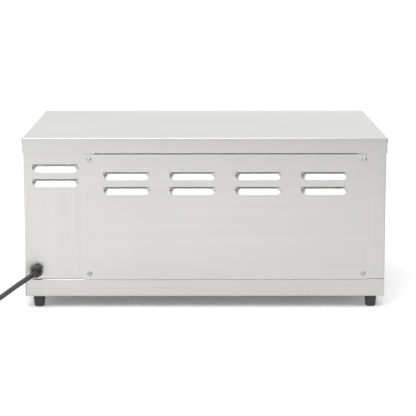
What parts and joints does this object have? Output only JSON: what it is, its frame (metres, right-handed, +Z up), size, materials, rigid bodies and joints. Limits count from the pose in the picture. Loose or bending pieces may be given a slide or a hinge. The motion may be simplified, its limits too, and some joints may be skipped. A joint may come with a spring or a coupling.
{
  "type": "rotisserie oven",
  "caption": "Low counter-top rotisserie oven in brushed stainless sheet, with a drop-down glass door, a control bay at the right, a louvred rear cover and a coiled mains cord.",
  "frame": {"origin": "on the surface that the feet stand on, under the middle of the oven's bounding box without its cord, coil and plug", "axes": "+X to the right as seen from the front, -Y to the front where the door is, +Y to the rear, +Z up"},
  "size_m": [0.7625, 0.5702, 0.277],
  "materials": {
    "stainless": "brushed, grain along the width",
    "cavity_steel": "mill finish, slightly heat tinted",
    "galvanised": "zinc coated, dull",
    "plated_screw": "bright zinc plated",
    "chromed_steel": "polished",
    "element_steel": "dark, heat oxidised",
    "brass_bush": "turned",
    "rubber_foot": "matt",
    "black_nylon": "satin, lightly textured",
    "black_cord": "satin rubber sheath",
    "clear_glass": "clear tempered",
    "red_lens": "translucent",
    "amber_lens": "translucent",
    "terminal_ivory": "moulded"
  },
  "bodies": {
    "casing": {"lid": "stainless", "left_side_panel": "stainless", "right_side_panel": "stainless", "rear_cover": "stainless", "front_frame": "stainless", "base_tray": "stainless", "control_fascia": "stainless", "foot_front_left": "rubber_foot", "foot_front_right": "rubber_foot", "foot_rear_left": "rubber_foot", "foot_rear_right": "rubber_foot", "rear_cover_screw_lower_left": "plated_screw", "rear_cover_screw_upper_left": "plated_screw", "rear_cover_screw_lower_right": "plated_screw", "rear_cover_screw_upper_right": "plated_screw", "lid_screw_left": "plated_screw", "lid_screw_right": "plated_screw", "cavity_roof": "cavity_steel", "cavity_left_wall": "cavity_steel", "cavity_right_wall": "cavity_steel", "cavity_rear_wall": "cavity_steel", "partition": "galvanised", "hinge_pin_left": "chromed_steel", "hinge_pin_right": "chromed_steel", "hinge_bracket_left": "galvanised", "hinge_bracket_right": "galvanised", "upper_element": "element_steel", "lower_element": "element_steel", "upper_element_bracket": "cavity_steel", "lower_element_bracket": "cavity_steel", "spit_bearing": "brass_bush", "gear_motor": "galvanised", "thermostat": "black_nylon", "timer": "black_nylon", "thermostat_bulb": "brass_bush", "switch_bezel": "black_nylon", "power_lamp": "red_lens", "heating_lamp": "amber_lens", "terminal_block": "terminal_ivory", "cord_gland": "black_nylon", "power_cord": "black_cord", "cord_coil": "black_cord", "plug": "black_cord"},
    "door": {"door_outer_frame": "stainless", "door_inner_frame": "stainless", "door_glass": "clear_glass", "handle_bar": "stainless", "handle_post_left": "black_nylon", "handle_post_right": "black_nylon"},
    "crumb_drawer": {"crumb_tray": "stainless"},
    "spit": {"spit_shaft": "chromed_steel", "drive_coupling": "element_steel"},
    "left_fork": {"fork_left": "chromed_steel", "fork_thumbscrew_left": "chromed_steel"},
    "right_fork": {"fork_right": "chromed_steel", "fork_thumbscrew_right": "chromed_steel"},
    "temperature_control": {"temperature_knob": "black_nylon"},
    "timer_control": {"timer_knob": "black_nylon"},
    "heat_switch": {"heat_rocker": "black_nylon"},
    "spit_switch": {"spit_rocker": "black_nylon"}
  },
  "joints": [
    {"name": "door_hinge", "type": "hinge", "parent": "casing", "child": "door", "pos_m": [-0.042, -0.21295, 0.056], "axis": [1, 0, 0], "range_deg": [0, 90]},
    {"name": "crumb_tray_slide", "type": "slide", "parent": "casing", "child": "crumb_drawer", "axis": [0, -1, 0], "range_m": [0, 0.15]},
    {"name": "spit_spin", "type": "hinge", "parent": "casing", "child": "spit", "pos_m": [0, -0.0024, 0.15], "axis": [1, 0, 0], "continuous": true},
    {"name": "left_fork_slide", "type": "slide", "parent": "spit", "child": "left_fork", "axis": [1, 0, 0], "range_m": [-0.06, 0.04]},
    {"name": "right_fork_slide", "type": "slide", "parent": "spit", "child": "right_fork", "axis": [1, 0, 0], "range_m": [-0.04, 0.045]},
    {"name": "temperature_knob_turn", "type": "hinge", "parent": "casing", "child": "temperature_control", "pos_m": [0.24075, -0.21715, 0.21], "axis": [0, 1, 0], "range_deg": [0, 270]},
    {"name": "timer_knob_turn", "type": "hinge", "parent": "casing", "child": "timer_control", "pos_m": [0.24075, -0.21715, 0.148], "axis": [0, 1, 0], "range_deg": [0, 300]},
    {"name": "heat_rocker_rock", "type": "hinge", "parent": "casing", "child": "heat_switch", "pos_m": [0.22835, -0.21515, 0.093], "axis": [1, 0, 0], "range_deg": [0, 16]},
    {"name": "spit_rocker_rock", "type": "hinge", "parent": "casing", "child": "spit_switch", "pos_m": [0.25315, -0.21515, 0.093], "axis": [1, 0, 0], "range_deg": [0, 16]}
  ]
}
